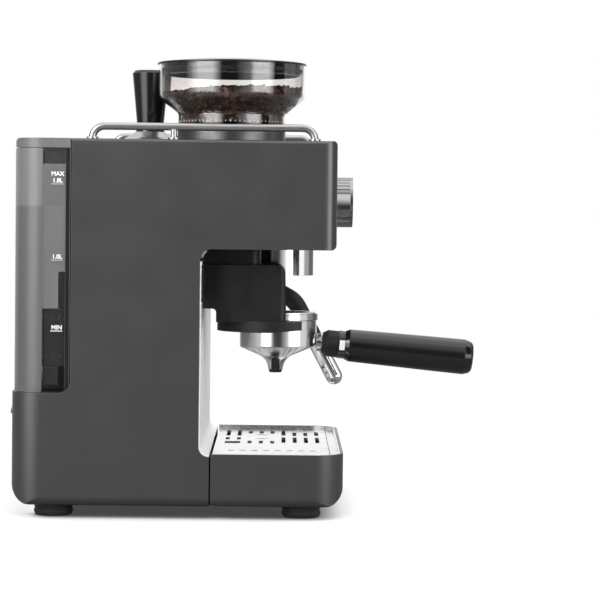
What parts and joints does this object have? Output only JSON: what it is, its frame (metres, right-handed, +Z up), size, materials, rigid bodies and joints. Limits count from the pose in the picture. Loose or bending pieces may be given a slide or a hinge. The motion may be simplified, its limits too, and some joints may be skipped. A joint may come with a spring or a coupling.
{
  "type": "espresso machine with built-in burr grinder",
  "caption": "Espresso machine with a built-in conical burr coffee grinder: bean hopper, grinding cradle, portafilter, group head, steam wand, water tank, drip tray and tamper.",
  "frame": {"origin": "middle of the overall bounding box, on the surface that the feet stand on", "axes": "+Z up, the front with the controls faces -Y, the grinder side is -X"},
  "size_m": [0.285, 0.4114, 0.4053],
  "materials": {
    "case_paint": "satin anthracite",
    "polished_steel": "polished",
    "rail_steel": "satin",
    "frame_steel": "plain zinc",
    "burr_steel": "hardened",
    "black_plastic": "fine texture",
    "dock_plastic": "moulded",
    "rubber_black": "matt",
    "smoked_tank": "smoked translucent",
    "smoked_hopper": "smoked clear",
    "lid_plastic": "smoked dark",
    "collar_metal": "dark turned",
    "gloss_black": "gloss",
    "cast_aluminium": "cast",
    "beans": "roasted beans",
    "gear_plastic": "acetal",
    "board_green": "circuit board",
    "hose_silicone": "silicone",
    "float_red": "red",
    "dark_chrome": "dark polished"
  },
  "bodies": {
    "machine": {"left_side_panel": "case_paint", "right_side_panel": "case_paint", "head_front_panel": "case_paint", "top_cover": "case_paint", "head_underside": "black_plastic", "splash_wall": "polished_steel", "rear_cover": "case_paint", "tank_dock": "dock_plastic", "base_pan": "dock_plastic", "feet": "rubber_black", "inner_frame": "frame_steel", "cup_rails": "rail_steel", "cable_gland": "black_plastic", "case_screws": "rail_steel", "burr_bearings": "frame_steel", "burr_housing": "cast_aluminium", "grinder_motor": "frame_steel", "grounds_chute": "dock_plastic", "cradle": "black_plastic", "group_head": "polished_steel", "group_gasket": "rubber_black", "shower_screen": "polished_steel", "boiler": "cast_aluminium", "pump": "dock_plastic", "solenoid_valve": "frame_steel", "control_board": "board_green", "hoses": "hose_silicone", "wand_socket": "polished_steel"},
    "collar": {"adjust_collar": "collar_metal", "ring_burr": "burr_steel"},
    "bean_hopper": {"hopper": "smoked_hopper", "coffee_beans": "beans"},
    "lid_of_hopper": {"hopper_lid": "lid_plastic"},
    "burr_drive": {"burr_shaft": "burr_steel", "cone_burr": "burr_steel", "main_gear": "gear_plastic"},
    "idler": {"idler_gear": "gear_plastic"},
    "rotor": {"motor_pinion": "gear_plastic"},
    "tank": {"water_tank": "smoked_tank"},
    "lid_of_tank": {"tank_lid": "lid_plastic"},
    "valve": {"tank_valve": "black_plastic"},
    "tray": {"tray_front": "case_paint", "drip_tray": "polished_steel"},
    "grate": {"drip_grate": "polished_steel"},
    "float": {"tray_float": "float_red"},
    "portafilter": {"portafilter_body": "polished_steel", "spout_insert": "black_plastic", "filter_basket": "polished_steel", "handle_collar": "black_plastic", "handle_ferrule": "gloss_black", "handle_grip": "gloss_black"},
    "wand": {"wand_tube": "polished_steel", "wand_grip": "black_plastic"},
    "dial": {"main_dial": "dark_chrome"},
    "knob": {"grind_knob": "polished_steel"},
    "power": {"power_button": "gloss_black"},
    "brew": {"brew_button": "gloss_black"},
    "plunger": {"dose_plunger": "black_plastic"},
    "tamper": {"tamper_base": "rail_steel", "tamper_handle": "gloss_black"}
  },
  "joints": [
    {"name": "grind_adjust", "type": "hinge", "parent": "machine", "child": "collar", "pos_m": [-0.066, 0.01461, 0.331], "axis": [0, 0, 1], "range_deg": [-45, 45]},
    {"name": "hopper_lift", "type": "slide", "parent": "collar", "child": "bean_hopper", "axis": [0, 0, 1], "range_m": [0, 0.09]},
    {"name": "hopper_lid_lift", "type": "slide", "parent": "bean_hopper", "child": "lid_of_hopper", "axis": [0, 0, 1], "range_m": [0, 0.05]},
    {"name": "burr_spin", "type": "hinge", "parent": "machine", "child": "burr_drive", "pos_m": [-0.066, 0.01461, 0.29], "axis": [0, 0, 1], "continuous": true},
    {"name": "idler_spin", "type": "hinge", "parent": "machine", "child": "idler", "pos_m": [-0.066, 0.04811, 0.27], "axis": [0, 0, 1], "continuous": true},
    {"name": "motor_spin", "type": "hinge", "parent": "machine", "child": "rotor", "pos_m": [-0.066, 0.07211, 0.262], "axis": [0, 0, 1], "continuous": true},
    {"name": "tank_lift", "type": "slide", "parent": "machine", "child": "tank", "axis": [0, 0, 1], "range_m": [0, 0.24]},
    {"name": "tank_lid_hinge", "type": "hinge", "parent": "tank", "child": "lid_of_tank", "pos_m": [0, 0.19911, 0.3252], "axis": [-1, 0, 0], "range_deg": [0, 88]},
    {"name": "tank_valve_slide", "type": "slide", "parent": "tank", "child": "valve", "axis": [0, 0, 1], "range_m": [0, 0.003], "stiffness_N_per_m": 60},
    {"name": "tray_slide", "type": "slide", "parent": "machine", "child": "tray", "axis": [0, -1, 0], "range_m": [0, 0.16]},
    {"name": "grate_lift", "type": "slide", "parent": "tray", "child": "grate", "axis": [0, 0, 1], "range_m": [0, 0.03]},
    {"name": "float_rise", "type": "slide", "parent": "tray", "child": "float", "axis": [0, 0, 1], "range_m": [0, 0.006]},
    {"name": "portafilter_slide", "type": "slide", "parent": "machine", "child": "portafilter", "axis": [0, -1, 0], "range_m": [0, 0.13]},
    {"name": "wand_swivel", "type": "hinge", "parent": "machine", "child": "wand", "pos_m": [0.105, -0.00189, 0.227], "axis": [0, 0, 1], "range_deg": [-35, 25]},
    {"name": "dial_turn", "type": "hinge", "parent": "machine", "child": "dial", "pos_m": [0.062, -0.08189, 0.279], "axis": [0, -1, 0], "range_deg": [-75, 75]},
    {"name": "knob_turn", "type": "hinge", "parent": "machine", "child": "knob", "pos_m": [-0.066, -0.08189, 0.2736], "axis": [0, -1, 0], "range_deg": [-140, 140]},
    {"name": "power_press", "type": "slide", "parent": "machine", "child": "power", "axis": [0, 1, 0], "range_m": [0, 0.0012], "stiffness_N_per_m": 600},
    {"name": "brew_press", "type": "slide", "parent": "machine", "child": "brew", "axis": [0, 1, 0], "range_m": [0, 0.0012], "stiffness_N_per_m": 600},
    {"name": "plunger_press", "type": "slide", "parent": "machine", "child": "plunger", "axis": [0, 1, 0], "range_m": [0, 0.002], "stiffness_N_per_m": 150},
    {"name": "tamper_lift", "type": "slide", "parent": "machine", "child": "tamper", "axis": [0, 0, 1], "range_m": [0, 0.022]}
  ],
  "couplings": [
    {"joint": "idler_spin", "follows": "burr_spin", "ratio": -3.7857},
    {"joint": "motor_spin", "follows": "burr_spin", "ratio": 11.357}
  ]
}
